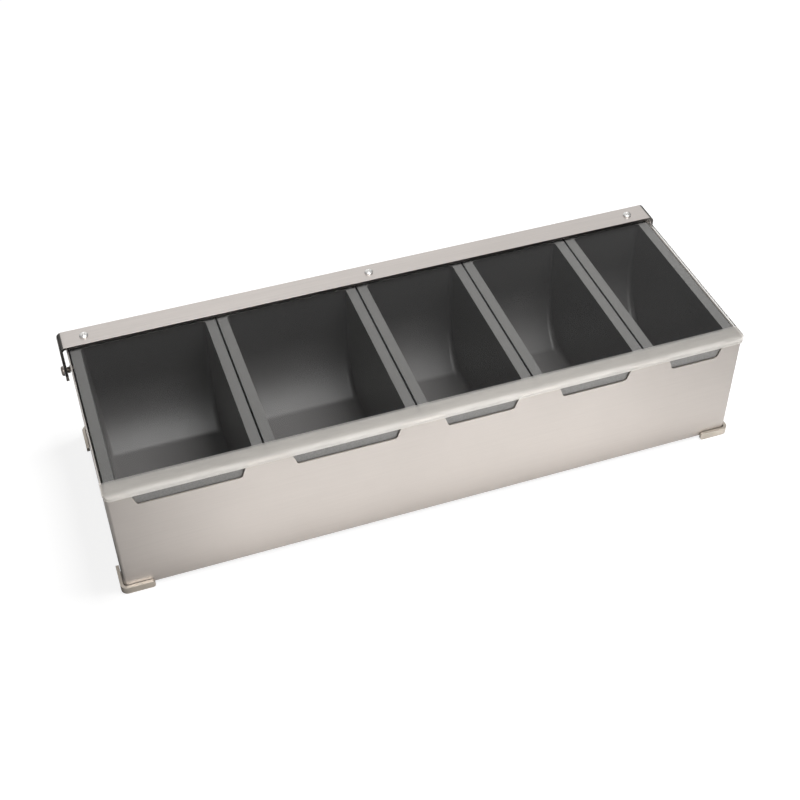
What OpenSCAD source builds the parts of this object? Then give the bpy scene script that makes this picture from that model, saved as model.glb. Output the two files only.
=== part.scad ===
// Condiment caddy: a folded sheet tray on four strap feet, five lift-out bins side by side,
// and one clear lid riveted under a steel bar whose bent-down arms turn on two screws.
// Millimetres. X runs left to right, Y front to back, Z up.
// The origin is on the table, under the middle of the caddy.

/* [Bins] */
// Width of each of the two wide bins over the rim
wide_bin_w = 100.4; // [70:0.2:140]
// Width of each of the two medium bins over the rim
medium_bin_w = 79.4; // [60:0.2:120]
// Width of the narrow bin over the rim
narrow_bin_w = 66; // [56:0.2:100]
// Gap between the rims of neighbouring bins
bin_gap = 0.8; // [0.2:0.1:2]
// Gap between the end bins' rims and the side walls
bin_side_gap = 0.7; // [0.6:0.1:3]
// Gap between the bins' rims and the front and back walls
bin_end_gap = 1; // [0.8:0.1:3]
// Width of a bin's rim along its sides
side_rim_w = 7; // [6:0.5:9]
// Width of a bin's rim at its front and back
end_rim_w = 10; // [8:0.5:14]
// Thickness of a bin's rim
rim_t = 2; // [1.5:0.1:3]
// Height of the skirt that hangs from the outer edge of the rim
skirt_h = 14; // [13:1:17]
// Thickness of the skirt
skirt_t = 1.8; // [1.2:0.1:2.5]
// Thickness of a bin's walls
bin_wall = 2.2; // [1.5:0.1:3]
// Thickness of a bin's floor
bin_floor = 2.6; // [1.5:0.1:4]
// Radius of the scoop between a bin's floor and its front and back walls
scoop_r = 22; // [10:1:30]
// Radius of the upright corners inside a bin
bin_corner_r = 3; // [2:0.5:8]
// Radius along the sides of a bin's floor
bin_edge_r = 4; // [2:0.5:8]
// Radius of the rim's outer corners
rim_corner_r = 2; // [1:0.5:3]
// How far the rims stay below the top of the side walls
rim_recess = 0.8; // [0.6:0.1:3]

/* [Tray] */
// Outside depth of the tray, front to back
tray_d = 153; // [130:1:200]
// Height of the tray's side walls over its own underside
tray_h = 86; // [75:1:110]
// Thickness of the tray's sheet
sheet_t = 0.9; // [0.7:0.1:1.5]
// Outside radius of the upright corner bends
tray_corner_r = 2.5; // [2:0.1:4]
// Outside radius of the bends along the floor
tray_edge_r = 1.5; // [1:0.5:3]
// How much lower the back wall and the rear ends of the side walls stand
back_drop = 2; // [1.6:0.1:4]
// How far in front of the pivots that lower part begins
back_lead = 1; // [0.5:0.1:3]
// Depth of the finger notches in the front wall
notch_depth = 12; // [6:0.5:13]
// Width of a wide bin's notch along its bottom
wide_notch_w = 65; // [40:1:66]
// Width of a medium bin's notch along its bottom
medium_notch_w = 45; // [30:1:54]
// Width of the narrow bin's notch along its bottom
narrow_notch_w = 33; // [20:1:40]
// How much each end of a notch leans out from its bottom to its top
notch_flare = 4.6; // [1:0.1:6]
// Radius of the bottom corners of a notch
notch_r = 3; // [1:0.5:3]

/* [Lid] */
// Thickness of the clear lid
lid_t = 2.5; // [2:0.1:4]
// How far the lid stands out past the side walls
lid_overhang = 0.5; // [0:0.1:1.5]
// Radius of the lid's front corners, seen from above
lid_corner_r = 5; // [3:0.5:10]
// Gap between the front wall and the lid's turned-down lip
lip_gap = 0.4; // [0.3:0.1:1.5]
// Thickness of the lip
lip_t = 2.5; // [2:0.1:4]
// How far the lip reaches down past the underside of the lid
lip_drop = 1.2; // [1:0.1:5]
// Outside radius of the bend between the lid and its lip
lip_bend_r = 3; // [2:0.1:3.5]

/* [Hinge bar] */
// Width of the bar's strip, front to back
bar_w = 17.3; // [16:0.1:20]
// Thickness of the bar's strip
bar_t = 2; // [1.2:0.1:2.5]
// How far the bar stands out behind the back wall
bar_reach = 4.7; // [1.5:0.1:5.5]
// How far the lid's rear edge stays in front of the bar's rear edge
lid_inset = 1; // [0.5:0.1:2]
// Gap between each side wall and the arm beside it
arm_gap = 2.5; // [1.5:0.1:5]
// Least gap under the lid while it swings over the back wall and the bins
swing_gap = 0.3; // [0.2:0.05:0.6]
// Outside radius of the bends between the bar and its arms
bar_bend_r = 4; // [3:0.5:5]
// Depth of the pivots below the top of the side walls
pivot_drop = 20.5; // [18:0.5:26]
// How far the pivots are in front of the middle of the arms
pivot_lead = 1.8; // [1:0.1:4]

/* [Pivots] */
// Diameter of the pivot screws
pivot_d = 3; // [2.5:0.1:4]
// Radial clearance round each screw
pivot_clearance = 0.05; // [0.02:0.01:0.1]
// Diameter of the screw heads
pivot_head_d = 7; // [6:0.1:9]
// Height of the screw heads
pivot_head_h = 2; // [1:0.1:3]
// Diameter of the spacer between each arm and its wall
spacer_d = 4.6; // [4.4:0.1:6]
// Side play of each arm between its screw's head and its spacer
arm_play = 0.1; // [0.05:0.05:0.3]
// Width of the lock nuts across their flats
nut_af = 5.5; // [5:0.1:5.5]
// Height of the lock nuts
nut_h = 2.4; // [1.5:0.1:3.5]
// How far a screw's end stands out of its nut
screw_end = 0.6; // [0.2:0.1:1]
// Gap between the lock nuts and the end bins' skirts above them
nut_clearance = 1; // [0.5:0.1:2]
// Least gap between the lock nuts and the bends at the tray's rear corners
nut_bend_gap = 0.3; // [0.2:0.1:1]

/* [Lid rivets] */
// Diameter of the lid rivets
rivet_d = 3.2; // [2.4:0.1:4]
// Radial gap between a rivet and its hole
rivet_gap = 0.05; // [0.02:0.01:0.15]
// Diameter of the domed heads on the bar
rivet_head_d = 6.2; // [5:0.1:8]
// Height of the domed heads
rivet_head_h = 1.8; // [1:0.1:2.5]
// Diameter of the set ends under the lid
rivet_tail_d = 5; // [4.4:0.1:7]
// Height of the set ends
rivet_tail_h = 1.1; // [0.6:0.1:1.4]
// How far the set ends stay above the underside of the lid
rivet_recess = 0.1; // [0.05:0.05:0.3]
// Radial gap round the set ends in their pockets
pocket_gap = 0.1; // [0.05:0.05:0.3]
// Distance from the outer face of an arm to the end rivets
rivet_inset = 18; // [12:0.5:40]

/* [Feet] */
// Thickness of the feet's strap
foot_t = 2.2; // [1.5:0.1:3]
// Height of the strap
foot_h = 5.6; // [5:0.1:10]
// Length of each leg of a foot from its outer corner
foot_leg = 22; // [18:0.5:35]
// Gap between the strap and the tray's walls
foot_gap = 0.3; // [0.2:0.1:2]
// Height of the tray's underside over the table
foot_drop = 2; // [1.8:0.1:5]
// Outside radius of a foot's bend
foot_corner_r = 4.5; // [4:0.5:8]
// Radius of the rounded ends of the strap
foot_end_r = 2; // [1:0.1:2.4]
// Size of the plate that carries the foot under the tray
foot_plate_w = 16; // [14:0.5:24]
// Thickness of that plate
foot_plate_t = 1.1; // [0.8:0.1:1.1]
// Distance from the tray's walls to the centre of a foot's rivet
foot_rivet_in = 9; // [8:0.5:10]
// Diameter of the feet's rivets
foot_rivet_d = 3; // [2.4:0.1:3.5]
// Diameter of the heads of the feet's rivets
foot_head_d = 5.2; // [4.6:0.1:6]
// Diameter of their set ends
foot_tail_d = 4.4; // [4:0.1:6]
// Height of the heads inside the tray
foot_head_h = 1; // [0.6:0.1:1.6]
// Height of the set ends under the plates
foot_tail_h = 0.6; // [0.4:0.1:0.6]

/* [Hidden] */
$fn = 64;

// Extra length of a cutting tool past the face it opens
cut = 1;
// Smallest radius that a bend is left with
least_r = 0.1;

// Bins, from left to right
bin_w = [wide_bin_w, wide_bin_w, medium_bin_w, medium_bin_w, narrow_bin_w];
notch_w = [wide_notch_w, wide_notch_w, medium_notch_w, medium_notch_w, narrow_notch_w];
// Least width of wall left standing beside a notch, up to the edge of its bin
notch_land = 3;
function notch_of(i) = min(notch_w[i], bin_w[i] - 2 * (notch_flare + notch_land));
bin_count = len(bin_w);
function sum_to(v, n) = n <= 0 ? 0 : v[n - 1] + sum_to(v, n - 1);
bins_w = sum_to(bin_w, bin_count) + (bin_count - 1) * bin_gap;
function bin_left(i) = -bins_w / 2 + sum_to(bin_w, i) + i * bin_gap;
function bin_centre(i) = bin_left(i) + bin_w[i] / 2;

// Tray
tray_w = bins_w + 2 * (bin_side_gap + sheet_t);
tray_z = foot_drop;
floor_z = tray_z + sheet_t;
wall_top = tray_z + tray_h;
notch_z = wall_top - notch_depth;
inner_w = tray_w - 2 * sheet_t;
inner_d = tray_d - 2 * sheet_t;
inner_corner_r = max(tray_corner_r - sheet_t, least_r);
inner_edge_r = max(tray_edge_r - sheet_t, least_r);

// Lid and hinge bar
lid_top = wall_top + lid_t;
lip_face = tray_d / 2 + lip_gap + lip_t;
lip_z = wall_top - lip_drop;
lid_bend_r = min(lip_bend_r, lid_t + lip_drop / 2);
// The lid ends short of the bends inside the bar
lid_reach = min(lid_overhang, arm_gap - bar_bend_r + bar_t);
lid_w = tray_w + 2 * lid_reach;
bar_back = tray_d / 2 + bar_reach;
bar_front = bar_back - bar_w;
bar_y = bar_back - bar_w / 2;
// In front of the middle of the arms, and far enough in for the nuts to clear the rear bends
pivot_y = min(bar_y - pivot_lead, tray_d / 2 - tray_corner_r - nut_af / 2 - nut_bend_gap);
bar_top = lid_top + bar_t;
lid_back = bar_back - lid_inset;
arm_in = tray_w / 2 + arm_gap;
arm_out = arm_in + bar_t;
rivet_x = arm_out - rivet_inset;
tail_z = wall_top + rivet_recess;

// Pivots
pivot_z = wall_top - pivot_drop;
pivot_hole_d = pivot_d + 2 * pivot_clearance;
nut_d = nut_af / cos(30);
swing_r = pivot_drop - swing_gap;
back_swing_z = pivot_z + sqrt(pow(swing_r, 2) - pow(tray_d / 2 - pivot_y, 2));
back_top = min(wall_top - back_drop, back_swing_z);
spacer_l = arm_gap - arm_play;
head_x = arm_out + arm_play;
screw_tip = tray_w / 2 - sheet_t - nut_h - screw_end;

// Insides of the bins, kept under the swing of the lid
bin_d = inner_d - 2 * bin_end_gap;
rim_swing_z = pivot_z + sqrt(pow(swing_r, 2) - pow(bin_d / 2 - pivot_y, 2));
bin_top = min(wall_top - rim_recess, rim_swing_z);
bin_h = bin_top - floor_z;
skirt_z = max(bin_top - skirt_h, pivot_z + nut_d / 2 + nut_clearance);
cavity_z = floor_z + bin_floor;
cavity_d = bin_d - 2 * end_rim_w;

// Feet
foot_in_x = tray_w / 2 + foot_gap;
foot_in_y = tray_d / 2 + foot_gap;
foot_out_x = foot_in_x + foot_t;
foot_out_y = foot_in_y + foot_t;
foot_rivet_x = tray_w / 2 - foot_rivet_in;
foot_rivet_y = tray_d / 2 - foot_rivet_in;
plate_z = tray_z - foot_plate_t;
foot_hole_d = foot_rivet_d + 2 * rivet_gap;

// The modules are drawn about the middle of the tray; this brings the caddy's own middle there
home_y = (lip_face - bar_back) / 2;

// Colours
steel = [0.78, 0.76, 0.74];
nickel = [0.70, 0.67, 0.62];
zinc = [0.62, 0.62, 0.62];
bin_grey = [0.33, 0.33, 0.33];
clear = [0.86, 0.90, 0.90, 0.45];

// Sets a piece in its place over the origin
module home() {
    translate([0, home_y, 0]) children();
}

// A flat rounded rectangle about the origin
module rounded(w, d, r) {
    square([w, d - 2 * r], center = true);
    square([w - 2 * r, d], center = true);
    for (x = [-1, 1], y = [-1, 1])
        translate([x * (w / 2 - r), y * (d / 2 - r)]) circle(r);
}

// A flat rectangle standing on the axis, with its two bottom corners rounded
module round_bottomed(w, h, r) {
    translate([-w / 2, r]) square([w, h - r]);
    translate([-w / 2 + r, 0]) square([w - 2 * r, h]);
    for (x = [-1, 1])
        translate([x * (w / 2 - r), r]) circle(r);
}

// Stands a flat shape up across the width: its X becomes Y and its Y becomes Z
module along_x(l) {
    rotate([90, 0, 90]) translate([0, 0, -l / 2]) linear_extrude(l) children();
}

// Stands a flat shape up across the depth: its X stays X and its Y becomes Z
module along_y(l) {
    rotate([90, 0, 0]) translate([0, 0, -l / 2]) linear_extrude(l) children();
}

// A low domed head on the XY plane, a cap of a sphere
module dome(d, h) {
    ball_r = (d * d / 4 + h * h) / (2 * h);
    rotate_extrude() intersection() {
        translate([0, h - ball_r]) circle(ball_r, $fn = 180);
        square([d / 2, h]);
    }
}

// A block with rounded upright corners, and its bottom rounded along the ends and sides
module pan(w, d, h, corner_r, end_r, side_r) {
    intersection() {
        linear_extrude(h) rounded(w, d, corner_r);
        along_x(w + cut) round_bottomed(d, h, end_r);
        along_y(d + cut) round_bottomed(w, h, side_r);
    }
}

// One finger notch, cut through the front wall
module notch(w) {
    lean = notch_flare / notch_depth;
    top_w = w + 2 * (notch_depth + cut) * lean;
    soft_w = w + 2 * notch_r * lean;
    along_y(4 * sheet_t) {
        polygon([
            [-soft_w / 2, notch_r], [soft_w / 2, notch_r],
            [top_w / 2, notch_depth + cut], [-top_w / 2, notch_depth + cut]
        ]);
        round_bottomed(soft_w, 2 * notch_r, notch_r);
    }
}

// Tray: floor and four walls of one folded sheet, with notches, pivot holes and foot holes
module tray() {
    color(steel) difference() {
        translate([0, 0, tray_z])
            pan(tray_w, tray_d, tray_h, tray_corner_r, tray_edge_r, tray_edge_r);
        translate([0, 0, floor_z])
            pan(inner_w, inner_d, tray_h, inner_corner_r, inner_edge_r, inner_edge_r);
        for (i = [0 : bin_count - 1])
            translate([bin_centre(i), -tray_d / 2 + sheet_t / 2, notch_z]) notch(notch_of(i));
        translate([-tray_w / 2 - cut, pivot_y - back_lead, back_top])
            cube([tray_w + 2 * cut, tray_d, wall_top - back_top + cut]);
        translate([0, pivot_y, pivot_z])
            rotate([0, 90, 0]) cylinder(d = pivot_hole_d, h = tray_w + 2 * cut, center = true);
        for (x = [-1, 1], y = [-1, 1])
            translate([x * foot_rivet_x, y * foot_rivet_y, tray_z - cut])
                cylinder(d = foot_hole_d, h = sheet_t + 2 * cut);
    }
}

// Bin: a scooped well hung inside a flat rim with a skirt round its outer edge
module bin(i) {
    w = bin_w[i];
    well_w = w - 2 * side_rim_w;
    body_w = well_w + 2 * bin_wall;
    body_d = cavity_d + 2 * bin_wall;
    color(bin_grey) translate([bin_centre(i), 0, 0]) difference() {
        union() {
            translate([0, 0, floor_z])
                pan(body_w, body_d, bin_h, bin_corner_r + bin_wall, scoop_r + bin_wall,
                    bin_edge_r + bin_wall);
            translate([0, 0, bin_top - rim_t])
                linear_extrude(rim_t) rounded(w, bin_d, rim_corner_r);
            translate([0, 0, skirt_z]) linear_extrude(bin_top - skirt_z) difference() {
                rounded(w, bin_d, rim_corner_r);
                square([w - 2 * skirt_t, bin_d - 2 * skirt_t], center = true);
            }
        }
        translate([0, 0, cavity_z])
            pan(well_w, cavity_d, bin_h, bin_corner_r, scoop_r, bin_edge_r);
    }
}

// Side view of the lid: Y across, Z up, with the lip at the front
module lid_profile() {
    bend_y = -lip_face + lid_bend_r;
    difference() {
        union() {
            translate([bend_y, lip_z]) square([lid_back - bend_y, lid_top - lip_z]);
            translate([-lip_face, lip_z]) square([lid_bend_r, lid_top - lid_bend_r - lip_z]);
            intersection() {
                translate([bend_y, lid_top - lid_bend_r]) circle(lid_bend_r);
                translate([-lip_face, lid_top - lid_bend_r]) square(lid_bend_r);
            }
        }
        translate([-lip_face + lip_t, lip_z - cut])
            square([lip_face + lid_back, lip_drop + cut]);
    }
}

// Lid: a clear plate with rounded front corners and a turned-down lip, bored for its rivets
module lid() {
    color(clear) difference() {
        intersection() {
            along_x(lid_w) lid_profile();
            translate([0, (lid_back - lip_face) / 2, 0]) linear_extrude(lid_top + cut) union() {
                rounded(lid_w, lid_back + lip_face, lid_corner_r);
                translate([-lid_w / 2, 0]) square([lid_w, (lid_back + lip_face) / 2]);
            }
        }
        for (x = [-rivet_x, 0, rivet_x]) translate([x, bar_y, wall_top - cut]) {
            cylinder(d = rivet_d + 2 * rivet_gap, h = lid_t + 2 * cut);
            cylinder(d = rivet_tail_d + 2 * pocket_gap, h = rivet_recess + rivet_tail_h + cut);
        }
    }
}

// Hinge bar: one strip laid across the lid and bent down at both ends into round-ended arms
module hinge_bar() {
    bar_l = 2 * arm_out;
    bar_drop = bar_top - pivot_z;
    inner_r = bar_bend_r - bar_t;
    color(steel) difference() {
        intersection() {
            translate([0, bar_y, 0]) along_y(bar_w) difference() {
                translate([0, bar_top]) mirror([0, 1])
                    round_bottomed(bar_l, bar_drop + bar_w / 2, bar_bend_r);
                translate([0, lid_top]) mirror([0, 1])
                    round_bottomed(2 * arm_in, bar_drop + bar_w, inner_r);
            }
            translate([0, bar_y, 0]) along_x(bar_l + cut) union() {
                translate([-bar_w / 2, pivot_z]) square([bar_w, bar_drop]);
                translate([0, pivot_z]) circle(d = bar_w);
            }
        }
        translate([0, pivot_y, pivot_z])
            rotate([0, 90, 0]) cylinder(d = pivot_hole_d, h = bar_l + 2 * cut, center = true);
        for (x = [-rivet_x, 0, rivet_x])
            translate([x, bar_y, lid_top - cut])
                cylinder(d = rivet_d + 2 * rivet_gap, h = bar_t + 2 * cut);
    }
}

// Lid rivet: domed head on the bar, shank, and a set end flush with the underside of the lid
module lid_rivet(x) {
    color(nickel) translate([x, bar_y, 0]) {
        translate([0, 0, bar_top]) dome(rivet_head_d, rivet_head_h);
        translate([0, 0, tail_z]) cylinder(d = rivet_d, h = bar_top + rivet_head_h / 2 - tail_z);
        translate([0, 0, tail_z]) cylinder(d = rivet_tail_d, h = rivet_tail_h);
    }
}

// Pivot screw on the right-hand side, or mirrored for the left
module pivot_screw() {
    color(nickel) translate([0, pivot_y, pivot_z]) rotate([0, 90, 0]) {
        translate([0, 0, head_x]) dome(pivot_head_d, pivot_head_h);
        translate([0, 0, screw_tip])
            cylinder(d = pivot_d, h = head_x + pivot_head_h / 2 - screw_tip);
    }
}

// Spacer sleeve on the screw, between the side wall and the arm
module pivot_spacer() {
    color(zinc) translate([tray_w / 2, pivot_y, pivot_z]) rotate([0, 90, 0]) difference() {
        cylinder(d = spacer_d, h = spacer_l);
        translate([0, 0, -cut]) cylinder(d = pivot_hole_d, h = spacer_l + 2 * cut);
    }
}

// Lock nut on the screw's inner end, with two of its flats upright
module lock_nut() {
    color(zinc) translate([tray_w / 2 - sheet_t - nut_h, pivot_y, pivot_z])
        rotate([0, 90, 0]) difference() {
            cylinder(d = nut_d, h = nut_h, $fn = 6);
            translate([0, 0, -cut]) cylinder(d = pivot_hole_d, h = nut_h + 2 * cut);
        }
}

// Side view of one leg of a foot, its free end rounded
module foot_leg_side() {
    square([foot_leg - foot_end_r, foot_h]);
    translate([0, foot_end_r]) square([foot_leg, foot_h - 2 * foot_end_r]);
    for (z = [foot_end_r, foot_h - foot_end_r])
        translate([foot_leg - foot_end_r, z]) circle(foot_end_r);
}

// One side of a foot's L, measured from its outer corner; in is the thickness taken off
module foot_bend(in) {
    r = foot_corner_r - in;
    translate([in, foot_corner_r]) square([foot_leg, foot_leg]);
    translate([foot_corner_r, in]) square([foot_leg, foot_leg]);
    translate([foot_corner_r, foot_corner_r]) circle(r);
}

// Foot for the back right corner: an L of strap round the corner, on a plate under the tray
module foot() {
    color(nickel) difference() {
        union() {
            intersection() {
                translate([foot_out_x, foot_out_y, 0]) rotate([0, 0, 180])
                    linear_extrude(foot_h) difference() {
                        foot_bend(0);
                        foot_bend(foot_t);
                    }
                union() {
                    translate([foot_out_x, foot_out_y, 0]) mirror([1, 0, 0])
                        along_y(2 * foot_corner_r) foot_leg_side();
                    translate([foot_out_x, foot_out_y, 0]) mirror([0, 1, 0])
                        along_x(2 * foot_corner_r) foot_leg_side();
                }
            }
            translate([0, 0, plate_z]) linear_extrude(foot_plate_t) foot_plate();
        }
        translate([foot_rivet_x, foot_rivet_y, plate_z - cut])
            cylinder(d = foot_hole_d, h = foot_plate_t + 2 * cut);
    }
}

// Outline of the plate under the tray, cut off across its inner corner
module foot_plate() {
    x0 = foot_in_x + foot_t / 2;
    y0 = foot_in_y + foot_t / 2;
    x1 = tray_w / 2 - foot_plate_w;
    y1 = tray_d / 2 - foot_plate_w;
    bend = foot_corner_r;
    polygon([
        [x1, y0], [x0 - bend, y0], [x0, y0 - bend], [x0, y1],
        [foot_rivet_x, y1], [x1, foot_rivet_y]
    ]);
}

// Feet's rivets: head inside the tray, shank, and a set end under the foot's plate
module foot_rivets() {
    color(nickel) for (x = [-1, 1], y = [-1, 1])
        translate([x * foot_rivet_x, y * foot_rivet_y, 0]) {
            translate([0, 0, floor_z]) dome(foot_head_d, foot_head_h);
            translate([0, 0, plate_z - foot_tail_h / 2])
                cylinder(d = foot_rivet_d, h = floor_z - plate_z + foot_tail_h);
            translate([0, 0, plate_z - foot_tail_h])
                cylinder(d = foot_tail_d, h = foot_tail_h);
        }
}

home() tray();
home() bin(0);  // bin_1
home() bin(1);  // bin_2
home() bin(2);  // bin_3
home() bin(3);  // bin_4
home() bin(4);  // bin_5
home() lid();
home() hinge_bar();
home() lid_rivet(-rivet_x);  // lid_rivet_left
home() lid_rivet(0);  // lid_rivet_middle
home() lid_rivet(rivet_x);  // lid_rivet_right
home() mirror([1, 0, 0]) pivot_screw();  // pivot_screw_left
home() pivot_screw();  // pivot_screw_right
home() mirror([1, 0, 0]) pivot_spacer();  // pivot_spacer_left
home() pivot_spacer();  // pivot_spacer_right
home() mirror([1, 0, 0]) lock_nut();  // lock_nut_left
home() lock_nut();  // lock_nut_right
home() mirror([1, 0, 0]) mirror([0, 1, 0]) foot();  // foot_front_left
home() mirror([0, 1, 0]) foot();  // foot_front_right
home() mirror([1, 0, 0]) foot();  // foot_back_left
home() foot();  // foot_back_right
home() foot_rivets();
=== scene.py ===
"""Condiment caddy: steel tray, five scooped bins, clear lid on a steel hinge bar. Metres, Z up."""

import math

import bmesh
import bpy
from mathutils import Matrix, Vector


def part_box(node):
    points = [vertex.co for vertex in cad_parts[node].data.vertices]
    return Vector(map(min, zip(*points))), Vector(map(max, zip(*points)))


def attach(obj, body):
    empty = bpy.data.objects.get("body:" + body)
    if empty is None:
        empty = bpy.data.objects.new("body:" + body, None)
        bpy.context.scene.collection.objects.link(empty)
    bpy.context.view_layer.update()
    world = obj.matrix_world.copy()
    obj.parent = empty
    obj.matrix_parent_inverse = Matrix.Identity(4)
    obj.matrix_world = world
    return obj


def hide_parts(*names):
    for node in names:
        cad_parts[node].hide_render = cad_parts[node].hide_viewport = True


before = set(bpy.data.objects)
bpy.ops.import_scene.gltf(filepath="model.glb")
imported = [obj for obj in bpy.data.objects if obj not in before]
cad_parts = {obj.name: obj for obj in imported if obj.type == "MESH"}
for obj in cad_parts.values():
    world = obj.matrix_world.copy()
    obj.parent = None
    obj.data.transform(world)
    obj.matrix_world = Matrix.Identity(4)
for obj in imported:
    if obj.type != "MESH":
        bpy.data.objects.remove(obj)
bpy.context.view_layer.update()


# ---- Camera ----------------------------------------------------------------------------------
# It stands in front of the caddy's left half and looks down over the lid, about 0.95 m away,
# tipped a little to its right.

mm = 0.001
camera_place = Vector((-217.4, -645.0, 674.3)) * mm
camera_turn = math.radians(18.463)
camera_dip = math.radians(43.361)
camera_roll = math.radians(-0.935)
camera_lens = 59.78
camera_sensor = 36.0

sight = Vector((
    math.sin(camera_turn) * math.cos(camera_dip),
    math.cos(camera_turn) * math.cos(camera_dip),
    -math.sin(camera_dip)))
camera_data = bpy.data.cameras.new("camera")
camera_data.lens = camera_lens
camera_data.sensor_width = camera_sensor
camera = bpy.data.objects.new("camera", camera_data)
camera.matrix_world = (
    Matrix.Translation(camera_place)
    @ sight.to_track_quat("-Z", "Y").to_matrix().to_4x4()
    @ Matrix.Rotation(camera_roll, 4, "Z"))
bpy.context.scene.collection.objects.link(camera)
bpy.context.scene.camera = camera
bpy.context.scene.view_settings.view_transform = "Standard"


# ---- Table and studio ------------------------------------------------------------------------
# A white table top in a white studio. One soft lamp hangs over the caddy, one high in front shows
# only as sheen, and a low one lights the front. The table keeps the caddy's soft shadow.

table_size = 8.0
table_white = 1.0
table_left_painted_shade = 0.50
table_right_painted_shade = 0.50
# The table is painted darker past the caddy's ends, a painted shade that shows only in the steel's
# reflections, and the studio dims to its top and sides.
table_left_shade_fade = (-0.23, -0.13)
table_right_shade_fade = (0.15, 0.38)
table_glow = 0.86
table_shadow = 0.26
studio_white = 1.0
studio_top = 0.22
studio_side = 0.35
studio_left = 0.85
studio_top_fade = (0.70, 0.92)
studio_side_fade = (0.46, 0.66)
studio_left_fade = (-0.20, 0.12)
studio_fill = 0.03


def blank_nodes(tree):
    """Empties a node tree and returns a function that adds a node with its inputs set."""
    tree.nodes.clear()

    def add(kind, settings=None, **inputs):
        node = tree.nodes.new(kind)
        for key, value in (settings or {}).items():
            setattr(node, key, value)
        for key, value in inputs.items():
            if key[0] == "i" and key[1:].isdigit():
                socket = node.inputs[int(key[1:])]
            else:
                socket = node.inputs[key.replace("_", " ")]
            if isinstance(value, bpy.types.NodeSocket):
                tree.links.new(value, socket)
            else:
                socket.default_value = value
        return node

    return add


def any_of(add, *values):
    """One where any of the values is one."""
    total = values[0]
    for value in values[1:]:
        total = add("ShaderNodeMath", {"operation": "MAXIMUM"}, i0=total, i1=value).outputs[0]
    return total


def span(add, value, low, high, to_low=0.0, to_high=1.0):
    """Maps a value from one span to another, kept inside it."""
    return add("ShaderNodeMapRange", {"clamp": True}, Value=value, From_Min=low, From_Max=high,
               To_Min=to_low, To_Max=to_high).outputs[0]


world = bpy.data.worlds.new("studio")
bpy.context.scene.world = world
world.use_nodes = True
add = blank_nodes(world.node_tree)
path = add("ShaderNodeLightPath").outputs
seen = any_of(add, path["Is Camera Ray"], path["Is Glossy Ray"], path["Is Transmission Ray"])
way = add("ShaderNodeSeparateXYZ", Vector=add("ShaderNodeTexCoord").outputs["Generated"]).outputs
aside = add("ShaderNodeMath", {"operation": "ABSOLUTE"}, i0=way["X"]).outputs[0]
sides = add("ShaderNodeMath", {"operation": "MINIMUM"},
            i0=span(add, way["X"], *studio_left_fade, studio_left, studio_white),
            i1=span(add, aside, *studio_side_fade, studio_white, studio_side)).outputs[0]
dimmed = add("ShaderNodeMath", {"operation": "MINIMUM"}, i0=sides,
             i1=span(add, way["Z"], *studio_top_fade, studio_white, studio_top)).outputs[0]
level = add("ShaderNodeMix", {"data_type": "FLOAT"},
            i0=path["Is Glossy Ray"], i2=studio_white, i3=dimmed).outputs[0]
fill = add("ShaderNodeBackground", Color=(1, 1, 1, 1), Strength=studio_fill)
white = add("ShaderNodeBackground", Color=(1, 1, 1, 1), Strength=level)
both = add("ShaderNodeMixShader", i0=seen, i1=fill.outputs[0], i2=white.outputs[0])
add("ShaderNodeOutputWorld", Surface=both.outputs[0])

half = table_size / 2
table_mesh = bpy.data.meshes.new("table")
table_mesh.from_pydata(
    [(-half, -half, 0), (half, -half, 0), (half, half, 0), (-half, half, 0)], [], [(0, 1, 2, 3)])
table = bpy.data.objects.new("table", table_mesh)
bpy.context.scene.collection.objects.link(table)

table_paint = bpy.data.materials.new("table_white")
table_paint.use_nodes = True
add = blank_nodes(table_paint.node_tree)
path = add("ShaderNodeLightPath").outputs
spot = add("ShaderNodeSeparateXYZ", Vector=add("ShaderNodeTexCoord").outputs["Object"]).outputs
# Painted shade: the table's colour darkens past the caddy's ends. Reflections and bounce light see
# it; the camera does not.
tone = add("ShaderNodeMath", {"operation": "MINIMUM"},
           i0=span(add, spot["X"], *table_left_shade_fade, table_left_painted_shade, table_white),
           i1=span(add, spot["X"], *table_right_shade_fade, table_white, table_right_painted_shade)).outputs[0]
lit = add("ShaderNodeBsdfDiffuse", Color=tone)
glow = add("ShaderNodeEmission", Color=(1, 1, 1, 1), Strength=table_glow)
shade = add("ShaderNodeBsdfDiffuse", Color=(table_shadow, table_shadow, table_shadow, 1))
shown = add("ShaderNodeAddShader", i0=glow.outputs[0], i1=shade.outputs[0])
straight = any_of(add, path["Is Camera Ray"], path["Is Transmission Ray"])
both = add("ShaderNodeMixShader", i0=straight, i1=lit.outputs[0], i2=shown.outputs[0])
add("ShaderNodeOutputMaterial", Surface=both.outputs[0])
table_mesh.materials.append(table_paint)


def soft_lamp(name, place, aim, width, height, power):
    """A rectangular soft lamp at place, facing aim, that isn't seen itself."""
    data = bpy.data.lights.new(name, "AREA")
    data.shape = "RECTANGLE"
    data.size = width
    data.size_y = height
    data.energy = power
    lamp = bpy.data.objects.new(name, data)
    facing = (Vector(aim) - Vector(place)).to_track_quat("-Z", "Y")
    lamp.matrix_world = Matrix.Translation(place) @ facing.to_matrix().to_4x4()
    lamp.visible_camera = False
    bpy.context.scene.collection.objects.link(lamp)
    return lamp


lamp_over = soft_lamp("lamp_over", place=(0.36, 0.02, 1.20), aim=(0.05, 0, 0),
                      width=0.60, height=0.70, power=20.8)
lamp_over.visible_glossy = False
lamp_sheen = soft_lamp("lamp_sheen", place=(0.00, -0.62, 1.10), aim=(0, 0, 0),
                       width=0.60, height=1.50, power=15.5)
lamp_sheen.visible_diffuse = False
lamp_low = soft_lamp("lamp_low", place=(0.21, -0.85, 0.055), aim=(0.02, 0, 0.06),
                     width=0.52, height=0.07, power=3.8)
lamp_low.visible_glossy = False


# ---- Tray ------------------------------------------------------------------------------------
# Stainless sheet, folded up into a floor and four walls and welded at the corners, with a
# finger notch in front of each bin. The brushing follows the sheet: along the caddy, and
# upright on the folded-up ends.

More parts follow.
